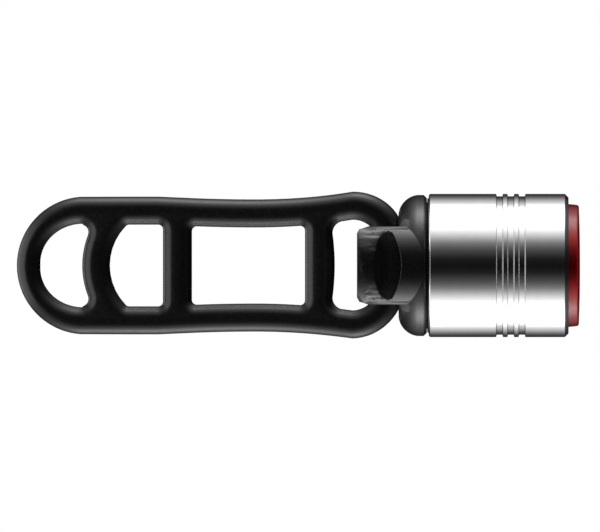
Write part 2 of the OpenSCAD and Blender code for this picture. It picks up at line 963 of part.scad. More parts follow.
// Corner between the curved bar and the finger loop
module finger_web() {
    mid_u = bar_curved_u - bar_curved_r;
    v = rail_end_v - strap_w / 2 - finger_r;
    du = sqrt(pow(bar_curved_r + bar_w / 2 + finger_r, 2) - v * v);
    cross_du = sqrt(bar_curved_r * bar_curved_r - rail_end_v * rail_end_v);
    corner_web(mid_u + du, v, finger_r, 180 + atan2(v, du), [mid_u + cross_du, rail_end_v]);
}

// One rail from the finger end's bend over the waist to the hook loop's corner, with its webs
module strap_rail() {
    strap_bend(waist_u, rail_waist_v, loop_r, 270, asin((loop_span + rail_lap) / loop_r), strap_w, true);
    strap_bend(waist_u, rail_waist_v, flat_r, 270, asin((flat_span + rail_lap) / flat_r), strap_w);
    strap_run(flat_u, rail_end_v, 0, end_mid_u - flat_u, strap_w);
    strap_bend(loop_corner_u, rail_loop_v, loop_corner_r, 90, loop_sweep, strap_w);
    bar_web(bar_hook_u, -1, loop_web_r);
    bar_web(bar_hook_u, 1, window_r);
    bar_web(bar_mid_u, -1, window_r);
    bar_web(bar_mid_u, 1, window_r);
    finger_web();
}

module strap() {
    curved_half = asin(rail_end_v / bar_curved_r);
    color("#19191a")
        translate([seat_x, loop_y, 0])
            rotate(180 - strap_tilt)
                rotate([90, 0, 0])
                    union() {
                        strap_rail();
                        mirror([0, 1, 0])
                            strap_rail();
                        strap_bend(end_mid_u, -rail_end_v, rail_end_v, -90, 180, strap_w);
                        for (u = [bar_hook_u, bar_mid_u])
                            strap_run(u, -rail_v(u), 90, 2 * rail_v(u), bar_w);
                        strap_bend(bar_curved_u, 0, bar_curved_r, 0, curved_half, bar_w);
                        strap_bend(bar_curved_u, 0, bar_curved_r, 0, curved_half, bar_w, true);
                        translate([0, -loop_bar_v, 0])
                            rotate([-90, 0, 0])
                                cylinder(h = 2 * loop_bar_v, r = loop_bar_r);
                    }
}

mount_cap();
cap_o_ring();
rear_contact();
rear_cell_can();
rear_cell_gasket();
rear_cell_cap();
front_cell_can();
front_cell_gasket();
front_cell_cap();
engine_sleeve();
board_retainer();
circuit_board();
battery_spring();
led_body();
led_leads();
switch_housing();
switch_cover();
switch_legs();
switch_stem();
driver_chip();
chip_legs();
resistors();
capacitor();
barrel();
lens_seal();
lens_button();
strap();
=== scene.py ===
import math

import bmesh
import bpy
from bpy.props import FloatProperty, FloatVectorProperty, IntProperty, PointerProperty
from mathutils import Matrix, Vector


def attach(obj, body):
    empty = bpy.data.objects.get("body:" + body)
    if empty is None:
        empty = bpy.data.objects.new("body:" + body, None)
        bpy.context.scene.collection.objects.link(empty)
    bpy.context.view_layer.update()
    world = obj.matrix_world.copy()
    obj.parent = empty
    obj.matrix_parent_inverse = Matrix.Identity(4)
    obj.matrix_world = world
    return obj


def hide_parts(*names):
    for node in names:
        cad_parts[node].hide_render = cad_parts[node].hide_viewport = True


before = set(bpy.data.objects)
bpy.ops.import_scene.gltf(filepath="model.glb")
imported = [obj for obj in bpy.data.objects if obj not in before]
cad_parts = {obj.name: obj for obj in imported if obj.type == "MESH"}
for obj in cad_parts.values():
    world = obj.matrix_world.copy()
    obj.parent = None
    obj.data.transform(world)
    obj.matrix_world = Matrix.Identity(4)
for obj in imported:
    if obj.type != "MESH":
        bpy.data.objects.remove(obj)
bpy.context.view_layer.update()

bl_info = {
    "name": "Bike rear light",
    "version": (1, 0, 0),
    "blender": (4, 5, 0),
    "location": "View3D > Sidebar > Rear light",
    "description": "Dresses the bike rear light: strap, barrel, lens, cap, seals, inside and stage",
    "category": "Object",
}

MM = 0.001
MERGE = 1e-7             # points closer than this are one point of a turned profile
PLAN_MERGE = 1e-6        # the same for the strap's plan and the cuts across the hooks

END_SWEEP = math.radians(86)    # turn of the strap's finger end, from the middle line to the rail
LOOP_SWEEP = math.radians(66)   # turn of the hook loop's corner, from the rail to the hook bar
SWELL_RATE = 1.6                # the finger window swells most near its corners
CURL_POWER = 8                  # the curl gathers at the hook loop's end
SECTION_DEPTH = 1.5             # half depth of the loop's open end, against the half widths below
NECK_RINGS = ((0.5, 2.55), (1.0, 2.0))  # share of the way to the hook bar, half width there

# Limits of the hooks on the mount cap, as the CAD has them
HOOK_REAR, HOOK_FRONT = 5.0 * MM, 19.0 * MM
HOOK_FLOOR = 9.5 * MM           # distance from the light's axis at which the hooks begin
HOOK_HALF = 7.5 * MM            # half height, with a little room
FALL_END = 7.4 * MM             # half height at which the crown has fallen all the way
FALL_DEPTH = 1.5 * MM           # rise over the hook's floor that takes the whole fall
SHOULDER_HALF = 7.0 * MM        # half height of the soft shoulder
DOME_X, DOME_REACH = 14.0 * MM, 13.4 * MM   # past here, only what reaches this far is hook and not dome
CROWN_SLACK = 0.1 * MM          # faceted points this near the crown count as lying on it
GRID = 0.45 * MM                # spacing of the lines across the hooks' faces
GRID_LINES = 16                 # lines to each side of the middle
SHOULDER_LINES = 10             # lines along the soft shoulder
SHOULDER_ROUNDS = 12            # rounds of softening
SHOULDER_WELD = 0.14 * MM       # lines closer than this would show as stripes
SLACK = 0.01 * MM

NOISE_SPAN = (0.3, 0.7)         # the part of a noise's range that it mostly keeps to
# Painted light and shade on the lens: level of the lens's red by how much the surface turns away from the view
LENS_PAINTED_LIGHT_LEVELS = (
    (0.0, 0.13), (0.012, 0.27), (0.06, 0.75), (0.134, 1.0), (0.257, 0.75), (0.53, 0.5), (0.8, 0.22),
)
# Level of the soft boxes by height above or below the horizon
SOFTBOX_LEVELS = (
    (0.0, 0.001), (0.2, 0.0022), (0.3, 0.0066), (0.42, 0.0132), (0.5, 0.022), (0.6, 0.04), (0.66, 0.066),
    (0.72, 0.1), (0.78, 0.144), (0.83, 0.184), (0.9, 0.27), (0.95, 0.5), (0.98, 0.8), (1.0, 1.0),
)


def length(name, description, millimetres):
    """A length that the sidebar shows in the scene's own unit."""
    return FloatProperty(
        name=name, description=description, default=millimetres * MM,
        precision=5, subtype="DISTANCE", unit="LENGTH",
    )


def tint(name, description, colour):
    """A colour for a finish."""
    return FloatVectorProperty(
        name=name, description=description, default=(*colour, 1.0),
        size=4, min=0.0, max=1.0, subtype="COLOR",
    )


class StrapSizes(bpy.types.PropertyGroup):
    seat_x: length("Hook bar X", "Place of the strap's hook bar along the light", 12.1)
    seat_y: length("Hook bar Y", "Distance of the strap's hook bar from the light's axis", 13.77)
    lean: FloatProperty(
        name="Lean", description="Angle between the strap and the light's axis",
        default=math.radians(7.32), subtype="ANGLE", unit="ROTATION",
    )
    rail_width: length("Rail width", "Width of each side rail", 5.3)
    near_bar_width: length("First bar width", "Width of the bar beside the hook loop", 5.65)
    middle_bar_width: length("Second bar width", "Width of the bar between the windows", 5.5)
    curved_bar_width: length("Curved bar width", "Width of the curved bar", 5.25)
    band: length("Parting band", "Height of the straight band round the edge", 0.1)
    belly: length("Belly", "Depth of the half-round face", 2.25)
    back: length("Back", "Depth of the rounded edge on the back", 0.7)
    back_edge: length("Back edge", "Reach of the rounded edge on the back", 0.6)
    widest: length("Widest level", "Level of the parting band over the hook bar's axis", 0.85)
    hook_bar: length("Hook bar", "Diameter of the bar that lies in the hook", 3.0)
    hook_bar_half: length("Hook bar half length", "Half length of the straight hook bar", 5.6)
    loop_corner_u: length("Loop corner", "Where the hook loop's corners begin", 6.9)
    loop_half: length("Loop half width", "Half width between the rails' middles at the hook loop", 11.19)
    loop_radius: length("Loop radius", "Radius of the hook loop's corners", 7.5)
    waist_u: length("Waist place", "Where the strap is narrowest", 25.3)
    waist_half: length("Waist half width", "Half width between the rails' middles at the waist", 9.81)
    flat_u: length("Straight run", "Where the rails run straight to the finger loop", 42.95)
    end_u: length("Finger loop middle", "Centre of the round finger end", 57.69)
    end_half: length("End half width", "Half width between the rails' middles at the finger end", 10.34)
    end_stretch: FloatProperty(
        name="Finger window stretch", description="How much longer than round the finger window is", default=1.107)
    near_bar_u: length("First bar", "Middle of the bar beside the hook loop", 13.09)
    middle_bar_u: length("Second bar", "Middle of the bar between the windows", 40.16)
    curved_bar_u: length("Curved bar centre", "Centre of the curved bar's arc", 42.43)
    curved_bar_radius: length("Curved bar radius", "Radius of the curved bar's middle", 13.2)
    window_radius: length("Window corners", "Corner radius of the windows", 0.9)
    loop_web_radius: length("Loop web", "Corner radius beside the hook loop's bar", 2.2)
    near_bar_bulge: length("First bar bulge", "Swell of the first bar towards the hook", 0.42)
    finger_swell: length("Finger window swell", "How far the finger window swells past round at its corners", 0.28)
    set_curl: length("Curl", "Lift of the hook loop's end above the strap's middle line", 0.33)
    finger_radius: length("Finger window corners", "Corner radius of the finger window", 1.4)


class BarrelSizes(bpy.types.PropertyGroup):
    rear_x: length("Rear end", "Rear end of the barrel along the light", 19.75)
    front_x: length("Front end", "Front end of the barrel along the light", 46.1)
    radius: length("Radius", "Outer radius", 13.5)
    rear_chamfer: length("Rear chamfer", "Chamfer at the cap", 0.25)
    front_chamfer: length("Front chamfer", "Chamfer at the lens", 0.7)
    groove_x: length("First groove", "Rear side of the first grip groove", 32.45)
    groove_pitch: length("Groove pitch", "Distance from groove to groove", 2.11)
    groove_width: length("Groove width", "Width of a groove", 1.3)
    groove_depth: length("Groove depth", "Depth of a groove", 0.45)
    groove_flank: length("Groove flank", "Slope of a groove's sides", 0.12)
    grooves: IntProperty(name="Grooves", description="Number of grip grooves", default=3, min=0)
    lip_radius: length("Lip radius", "Opening that holds the lens", 11.8)
    lip_x: length("Lip inner side", "Inner side of the lens lip", 45.3)
    bore_radius: length("Bore radius", "Inner radius", 12.1)
    thread_radius: length("Thread radius", "Root radius of the inner thread", 12.75)
    thread_x: length("Thread end", "Front end of the inner thread", 27.0)
    seal_radius: length("Seal room", "Radius of the room for the seal", 12.82)
    seal_x: length("Seal room end", "Front end of the seal's room", 20.35)
    edge: length("Edge break", "Rounding of the turned edges", 0.06)


class LensSizes(bpy.types.PropertyGroup):
    front_x: length("Front", "Front of the lens at its rim", 48.05)
    crown: length("Crown", "Rise of the front at its middle", 0.2)
    rim_radius: length("Front radius", "Radius at the front", 11.45)
    neck_radius: length("Neck radius", "Radius where the lens leaves the barrel", 11.65)
    neck_length: length("Neck length", "Length of the neck in front of the flange", 0.9)
    edge: length("Front edge", "Rounding of the front edge", 0.5)
    flange_radius: length("Flange radius", "Radius of the flange behind the lip", 12.0)
    flange_rear_x: length("Flange rear", "Rear side of the flange", 43.88)
    flange_front_x: length("Flange front", "Front side of the flange", 44.68)
    cavity_radius: length("Cavity radius", "Inner radius of the hollow behind the front", 10.25)
    cavity_x: length("Cavity floor", "Inner side of the lens front", 46.45)
    post_radius: length("Post radius", "Radius of the post over the switch", 2.1)
    post_drop: length("Post place", "Distance of the post below the axis", 6.7)
    post_x: length("Post end", "End of the post at the switch", 43.28)
    post_edge: length("Post edge", "Chamfer at the post's end", 0.2)
    post_flare: length("Post flare", "Widening of the post at its root", 0.4)
    post_bite: length("Post bite", "How far the post's root goes into the lens front", 0.1)


class CapSizes(bpy.types.PropertyGroup):
    edge: length("Edge rounding", "Rounding of the cap's moulded edges", 0.14)
    crown: length("Hook crown", "Radius of the hooks' outer faces about the light's axis", 13.8)
    fall_start: length("Crown fall start", "Height at which the hooks' faces begin to fall away", 2.2)
    fall: length("Crown fall", "How far the hooks' faces fall at the block's edges", 1.0)
    shoulder_x: length("Seat shoulder", "Where the hook's head rolls over into the strap seat", 9.7)
    shoulder: length("Shoulder reach", "Reach of the soft shoulder to each side", 1.5)
    thread_radius: length("Thread crest", "Crest radius of the thread on the boss", 12.56)
    thread_root: length("Thread root", "Radius from which the thread rises", 12.25)
    thread_foot: length("Thread foot", "Half width of the thread's ridge at its root", 0.45)
    thread_flat: length("Thread flat", "Half width of the thread's ridge at its crest", 0.08)
    thread_pitch: length("Thread pitch", "Pitch of the thread", 1.25)
    thread_start: length("Thread start", "First turn of the thread along the light", 20.9)
    thread_turns: FloatProperty(name="Thread turns", description="Number of turns", default=4.0)


class Finishes(bpy.types.PropertyGroup):
    rubber: tint("Strap rubber", "Black moulded rubber", (0.006, 0.006, 0.0062))
    cap_plastic: tint("Cap plastic", "Black grained plastic", (0.0055, 0.0055, 0.006))
    aluminium: tint("Barrel", "Polished aluminium", (0.90, 0.90, 0.905))
    lens: tint("Lens", "Clear red plastic", (0.67, 0.010, 0.014))
    seal: tint("Seals", "Black seal rubber", (0.015, 0.015, 0.015))
    brass: tint("Contacts", "Plated contact metal", (0.80, 0.65, 0.32))
    steel: tint("Cells", "Nickel plated steel", (0.75, 0.76, 0.78))
    gasket: tint("Cell gaskets", "Dark moulded gasket", (0.06, 0.065, 0.07))
    sleeve: tint("Sleeve", "Natural moulded plastic", (0.80, 0.79, 0.75))
    board: tint("Circuit board", "Green solder mask", (0.02, 0.15, 0.05))
    epoxy: tint("Lamp", "Red epoxy", (0.65, 0.03, 0.04))
    tin: tint("Leads", "Tinned metal", (0.70, 0.71, 0.72))
    chip: tint("Chips", "Black moulded chip", (0.02, 0.02, 0.023))
    ceramic: tint("Capacitor", "Tan ceramic", (0.40, 0.28, 0.17))


class StageSizes(bpy.types.PropertyGroup):
    frame_width: length("Frame width", "Width of the picture at the object", 113.1)
    look_x: length("Look at X", "Middle of the picture along the light", -4.525)
    look_z: length("Look at Z", "Middle of the picture in height", -0.094)
    distance: length("Camera distance", "Distance of the camera from the light", 600.0)
    floor_drop: length("Floor drop", "Depth of the floor below the light's axis", 90.0)
    floor_size: length("Floor size", "Half width of the floor", 450.0)
    floor: tint("Floor", "Pale floor", (0.9, 0.9, 0.9))
    softbox: FloatProperty(name="Soft boxes", description="Level of the soft light above and below", default=5.0)
    side: FloatProperty(name="Side light", description="Level of the soft light on the strap's side", default=1.6)


def new_node(tree, kind, **values):
    """Adds a shader node and sets its values."""
    node = tree.nodes.new(kind)
    for key, value in values.items():
        setattr(node, key, value)
    return node


def map_range(tree, source, target, interpolation="LINEAR"):
    """Maps one span of values onto another."""
    node = new_node(tree, "ShaderNodeMapRange", interpolation_type=interpolation)
    for end, value in zip(("From Min", "From Max", "To Min", "To Max"), (*source, *target)):
        node.inputs[end].default_value = value
    return node


def colour_ramp(tree, stops):
    """A colour ramp with the given (position, colour) stops."""
    ramp = new_node(tree, "ShaderNodeValToRGB")
    elements = ramp.color_ramp.elements
    while len(elements) < len(stops):
        elements.new(0.5)
    for element, (position, colour) in zip(elements, stops):
        element.position = position
        element.color = (*colour, 1.0)
    return ramp


def finish_material(name, colour, roughness, metallic=0.0):
    """A fresh material and its shader."""
    material = bpy.data.materials.new(name)
    material.use_nodes = True
    shader = material.node_tree.nodes["Principled BSDF"]
    shader.inputs["Base Color"].default_value = colour
    shader.inputs["Roughness"].default_value = roughness
    shader.inputs["Metallic"].default_value = metallic
    material.diffuse_color = colour
    return material, material.node_tree, shader


def object_noise(tree, scale, detail=2.0, stretch=(1.0, 1.0, 1.0)):
    """Noise over the piece's own coordinates, in features per metre."""
    place = new_node(tree, "ShaderNodeTexCoord")
    mapping = new_node(tree, "ShaderNodeMapping")
    mapping.inputs["Scale"].default_value = stretch
    noise = new_node(tree, "ShaderNodeTexNoise")
    noise.inputs["Scale"].default_value = scale
    noise.inputs["Detail"].default_value = detail
    tree.links.new(place.outputs["Object"], mapping.inputs["Vector"])
    tree.links.new(mapping.outputs["Vector"], noise.inputs["Vector"])
    return noise


def drift_colour(tree, shader, colour, spread, scale):
    """Lets the colour drift a little over the piece."""
    noise = object_noise(tree, scale, 3.0)
    darker = [c * (1.0 - spread) for c in colour[:3]]
    lighter = [min(1.0, c * (1.0 + spread)) for c in colour[:3]]
    ramp = colour_ramp(tree, [(NOISE_SPAN[0], darker), (NOISE_SPAN[1], lighter)])
    tree.links.new(noise.outputs["Fac"], ramp.inputs["Fac"])
    tree.links.new(ramp.outputs["Color"], shader.inputs["Base Color"])


def drift_roughness(tree, shader, low, high, scale, stretch=(1.0, 1.0, 1.0)):
    """Lets the gloss vary over the piece."""
    noise = object_noise(tree, scale, 3.0, stretch)
    span = map_range(tree, NOISE_SPAN, (low, high))
    tree.links.new(noise.outputs["Fac"], span.inputs["Value"])
    tree.links.new(span.outputs["Result"], shader.inputs["Roughness"])


def raise_grain(tree, shader, scale, depth, strength, stretch=(1.0, 1.0, 1.0), detail=2.0, edge=0.0):
    """Fine relief on the surface, over edges that catch the light."""
    noise = object_noise(tree, scale, detail, stretch)
    bump = new_node(tree, "ShaderNodeBump")
    bump.inputs["Strength"].default_value = strength
    bump.inputs["Distance"].default_value = depth
    tree.links.new(noise.outputs["Fac"], bump.inputs["Height"])
    tree.links.new(bump.outputs["Normal"], shader.inputs["Normal"])
    if edge:
        round_off = new_node(tree, "ShaderNodeBevel", samples=6)
        round_off.inputs["Radius"].default_value = edge
        tree.links.new(round_off.outputs["Normal"], bump.inputs["Normal"])


def strap_rubber(colour):
    """Smooth black rubber with a faint grain."""
    material, tree, shader = finish_material("strap_rubber", colour, 0.3)
    drift_colour(tree, shader, colour, 0.2, 900.0)
    drift_roughness(tree, shader, 0.26, 0.34, 1500.0)
    raise_grain(tree, shader, 5200.0, 0.00002, 0.2)
    return material


def grained_plastic(colour, edge):
    """Black plastic with a fine moulded grain and softly rounded edges."""
    material, tree, shader = finish_material("cap_plastic", colour, 0.28)
    shader.inputs["Specular IOR Level"].default_value = 0.68
    drift_colour(tree, shader, colour, 0.2, 2500.0)
    drift_roughness(tree, shader, 0.22, 0.32, 3000.0)
    raise_grain(tree, shader, 4600.0, 0.00004, 0.3, edge=edge)
    return material


def turned_aluminium(colour):
    """Polished metal with fine turning marks round the axis."""
    material, tree, shader = finish_material("barrel_aluminium", colour, 0.13, 1.0)
    drift_colour(tree, shader, colour, 0.02, 600.0)
    drift_roughness(tree, shader, 0.10, 0.16, 9000.0, (1.0, 0.01, 0.01))
    raise_grain(tree, shader, 14000.0, 0.000004, 0.12, (1.0, 0.004, 0.004))
    return material


def red_lens(colour):
    """Clear red plastic, with painted shade and painted light: its red is darker where the surface faces the view
    and lighter towards its rim.
    """
    material, tree, shader = finish_material("lens_red", colour, 0.22)
    shader.inputs["Transmission Weight"].default_value = 0.06
    shader.inputs["IOR"].default_value = 1.49
    drift_roughness(tree, shader, 0.18, 0.26, 2500.0)
    raise_grain(tree, shader, 6000.0, 0.000015, 0.12)
    # Painted light and shade: a ramp on the facing value darkens the red where the lens faces the view and lightens
    # it towards the rim
    glance = new_node(tree, "ShaderNodeLayerWeight")
    glance.inputs["Blend"].default_value = 0.5
    depth = colour_ramp(tree, [(place, [c * level for c in colour[:3]]) for place, level in LENS_PAINTED_LIGHT_LEVELS])
    tree.links.new(glance.outputs["Facing"], depth.inputs["Fac"])
    tree.links.new(depth.outputs["Color"], shader.inputs["Base Color"])
    return material


def plain_plastic(name, colour, roughness):
    """Moulded plastic or rubber of the inner pieces."""
    material, tree, shader = finish_material(name, colour, roughness)
    drift_colour(tree, shader, colour, 0.08, 1200.0)
    drift_roughness(tree, shader, roughness * 0.9, roughness * 1.1, 2500.0)
    raise_grain(tree, shader, 4000.0, 0.00002, 0.2)
    return material


def plated_metal(name, colour, roughness):
    """Plated sheet metal of the inner pieces."""
    material, tree, shader = finish_material(name, colour, roughness, 1.0)
    drift_colour(tree, shader, colour, 0.05, 1500.0)
    drift_roughness(tree, shader, roughness * 0.8, roughness * 1.2, 5000.0)
    raise_grain(tree, shader, 9000.0, 0.000005, 0.15)
    return material


def add_piece(name, bm, material, body, stands_for=()):
    """Makes an object of the bmesh, in place, riding on its body."""
    mesh = bpy.data.meshes.new(name)
    bm.to_mesh(mesh)
    bm.free()
    piece = bpy.data.objects.new(name, mesh)
    bpy.context.scene.collection.objects.link(piece)
    mesh.materials.append(material)
    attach(piece, body)
    if stands_for:
        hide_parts(*stands_for)
    return piece


def shade(bm, sharp_angle):
    """Smooth faces, with edges sharper than the angle kept."""
    for face in bm.faces:
        face.smooth = True
    for edge in bm.edges:
        edge.smooth = len(edge.link_faces) == 2 and edge.calc_face_angle(0.0) < sharp_angle


def draw_profile(bm, points, closed, drop=0.0):
    """Draws a profile of (along, radius) points over the light's axis, or over a line below it."""
    corners = [bm.verts.new((along, 0.0, radius - drop)) for along, radius in points]
    ends = corners[1:] + corners[:1] if closed else corners[1:]
    return corners + [bm.edges.new(pair) for pair in zip(corners, ends)]


def turn_profile(bm, points, steps, closed=False, drop=0.0):
    """Spins a profile once round the light's axis, or round a line below it."""
    bmesh.ops.spin(
        bm, geom=draw_profile(bm, points, closed, drop), cent=(0, 0, -drop), axis=(1, 0, 0),
        angle=math.tau, steps=steps, use_merge=True,
    )


def close_turned(bm):
    """Joins what a spin left double and turns the faces outwards."""
    bmesh.ops.remove_doubles(bm, verts=bm.verts, dist=MERGE)
    bmesh.ops.recalc_face_normals(bm, faces=bm.faces)


def round_edges(piece, width):
    """A small rounding on every hard edge."""
    bevel = piece.modifiers.new("edge_break", "BEVEL")
    bevel.width = width
    bevel.segments = 2
    bevel.limit_method = "ANGLE"
    bevel.angle_limit = math.radians(30)
    weigh = piece.modifiers.new("even_shading", "WEIGHTED_NORMAL")
    weigh.keep_sharp = True


def arc_points(centre, radius, start, end, count):
    """Points on an arc, first and last included, angles in degrees."""
    return [
        (
            centre[0] + radius * math.cos(math.radians(start + (end - start) * step / count)),
            centre[1] + radius * math.sin(math.radians(start + (end - start) * step / count)),
        )
        for step in range(count + 1)
    ]


def rail_middle(sizes, u):
    """Distance of a rail's middle from the strap's middle line, at a place along the strap."""
    if u < sizes.waist_u:
        run, rise, here = sizes.waist_u - sizes.loop_corner_u, sizes.loop_half - sizes.waist_half, sizes.waist_u - u
    else:
        run, rise, here = sizes.flat_u - sizes.waist_u, sizes.end_half - sizes.waist_half, u - sizes.waist_u
    if here > run:
        return sizes.waist_half + rise
    radius = (run * run + rise * rise) / (2.0 * rise)
    return sizes.waist_half + radius - math.sqrt(radius * radius - here * here)


def straight_side(sizes, edge_u, tangent_u, radius, facing, bulge=0.0):
    """One side of a straight bar, from its web at the rail down to the middle line."""
    top = rail_middle(sizes, tangent_u) - sizes.rail_width / 2
    web = arc_points((tangent_u, top - radius), radius, 90, 90 - 90 * facing, 6)
    low = web[-1][1]
    return web + [(edge_u + bulge * (1 - step / 5) ** 2, low * (1 - step / 5)) for step in range(1, 6)]


def curved_side(centre_u, bar_radius, web_centre, web_radius, facing):
    """One side of the curved bar, from its web at the rail down to the middle line."""
    lean = math.degrees(math.atan2(web_centre[1], web_centre[0] - centre_u))
    web = arc_points(web_centre, web_radius, 90, lean if facing > 0 else 180 + lean, 6)
    start = math.degrees(math.asin(web[-1][1] / bar_radius))
    return web + arc_points((centre_u, 0), bar_radius, start, 0, 5)[1:]


def next_row(bm, edge, axis):
    """Extrudes an edge; gives the new edge and its ends in order along an axis."""
    made = bmesh.ops.extrude_edge_only(bm, edges=[edge])["geom"]
    low, high = sorted((v for v in made if isinstance(v, bmesh.types.BMVert)), key=lambda v: v.co[axis])
    return low, high, bm.edges.get((low, high))


def draw_bar(bm, edge, near_side, far_side):
    """Runs a bar from the rail's inner edge to the middle line, row by row."""
    for near, far in zip(near_side[1:], far_side[1:]):
        low, high, edge = next_row(bm, edge, 0)
        low.co.x, low.co.y = near
        high.co.x, high.co.y = far


def rail_step(bm, sizes, edge, u):
    """Carries the rail on to a place along the strap."""
    half = sizes.rail_width / 2
    inner, outer, edge = next_row(bm, edge, 1)
    middle = rail_middle(sizes, u)
    inner.co = (u, middle - half, 0)
    outer.co = (u, middle + half, 0)
    return inner, outer, edge


def finger_end(bm, sizes):
    """Half of the round finger end, from the middle line to the rail; gives its last edge."""
    half = sizes.rail_width / 2
    inner = bm.verts.new((sizes.end_u + sizes.end_half - half, 0, 0))
    outer = bm.verts.new((sizes.end_u + sizes.end_half + half, 0, 0))
    first = bm.edges.new((inner, outer))
    last = bmesh.ops.spin(
        bm, geom=[inner, outer, first], cent=(sizes.end_u, 0, 0), axis=(0, 0, 1), angle=END_SWEEP, steps=18,
    )["geom_last"]
    for vert in bm.verts:
        reach = Vector((vert.co.x - sizes.end_u, vert.co.y)).length
        if reach < sizes.end_half:
            turn = math.atan2(vert.co.y, vert.co.x - sizes.end_u)
            grown = 1 + sizes.finger_swell * math.sin(SWELL_RATE * turn) / reach
            vert.co.x = sizes.end_u + (vert.co.x - sizes.end_u) * sizes.end_stretch * grown
            vert.co.y *= grown
    return next(item for item in last if isinstance(item, bmesh.types.BMEdge))


def strap_plan(sizes):
    """The strap's flat plan: finger end, rail and hook loop corner of one half, its bars, then the mirror half."""
    half = sizes.rail_width / 2
    near_half, middle_half = sizes.near_bar_width / 2, sizes.middle_bar_width / 2
    curved_half = sizes.curved_bar_width / 2
    bm = bmesh.new()
    edge = finger_end(bm, sizes)
    start, previous = sorted(edge.verts, key=lambda v: v.co.y)
    window = sizes.window_radius
    web_v = sizes.end_half - half - window
    curved_near_u = sizes.curved_bar_u + math.sqrt(
        (sizes.curved_bar_radius - curved_half - window) ** 2 - web_v * web_v)
    middle_far = sizes.middle_bar_u + middle_half + window
    middle_near = sizes.middle_bar_u - middle_half - window
    near_far = sizes.near_bar_u + near_half + window
    near_near = sizes.near_bar_u - near_half + sizes.near_bar_bulge - sizes.loop_web_radius
    stops = [curved_near_u, (curved_near_u + middle_far) / 2, middle_far, middle_near]
    stops += [middle_near + (near_far - middle_near) * step / 8 for step in range(1, 9)]
    stops += [near_near]
    inner_at = {}
    for u in stops:
        inner_at[u], outer, edge = rail_step(bm, sizes, edge, u)
        if u == near_near:
            # The rail's outer side follows its curve over the first bar too
            for count in range(5, 0, -1):
                previous = bmesh.utils.edge_split(bm.edges.get((outer, previous)), outer, count / (count + 1))[1]
                previous.co.y = rail_middle(sizes, previous.co.x) + half
        previous = outer

    finger_v = sizes.end_half - half - sizes.finger_radius
    finger_u = sizes.curved_bar_u + math.sqrt(
        (sizes.curved_bar_radius + curved_half + sizes.finger_radius) ** 2 - finger_v * finger_v)
    draw_bar(
        bm, bm.edges.get((start, inner_at[curved_near_u])),
        curved_side(sizes.curved_bar_u, sizes.curved_bar_radius - curved_half, (curved_near_u, web_v), window, 1),
        curved_side(
            sizes.curved_bar_u, sizes.curved_bar_radius + curved_half,
            (finger_u, finger_v), sizes.finger_radius, -1),
    )
    draw_bar(
        bm, bm.edges.get((inner_at[middle_far], inner_at[middle_near])),
        straight_side(sizes, sizes.middle_bar_u - middle_half, middle_near, window, 1),
        straight_side(sizes, sizes.middle_bar_u + middle_half, middle_far, window, -1),
    )
    draw_bar(
        bm, bm.edges.get((inner_at[stops[-2]], inner_at[near_near])),
        straight_side(
            sizes, sizes.near_bar_u - near_half, near_near, sizes.loop_web_radius, 1, sizes.near_bar_bulge),
        straight_side(sizes, sizes.near_bar_u + near_half, near_far, window, -1),
    )
    edge = rail_step(bm, sizes, edge, sizes.loop_corner_u)[2]
    corner = (sizes.loop_corner_u, sizes.loop_half - sizes.loop_radius, 0)
    bmesh.ops.spin(
        bm, geom=[*edge.verts, edge], cent=corner, axis=(0, 0, 1), angle=LOOP_SWEEP, steps=12,
    )

    bmesh.ops.mirror(bm, geom=bm.verts[:] + bm.edges[:] + bm.faces[:], axis="Y", merge_dist=PLAN_MERGE)
    bmesh.ops.remove_doubles(bm, verts=bm.verts, dist=PLAN_MERGE)
    bmesh.ops.recalc_face_normals(bm, faces=bm.faces)
    return bm


def swell(bm, faces, reach, rise, steps, last_angle):
    """Rounds the faces' rim: insets step by step along a quarter ellipse."""
    gone_in = gone_up = 0.0
    for step in range(1, steps + 1):
        angle = math.radians(last_angle) * step / steps
        inwards, upwards = reach * (1 - math.cos(angle)), rise * math.sin(angle)
        bmesh.ops.inset_region(
            bm, faces=faces, thickness=inwards - gone_in, depth=upwards - gone_up,
            use_boundary=False, use_even_offset=True,
        )
        gone_in, gone_up = inwards, upwards


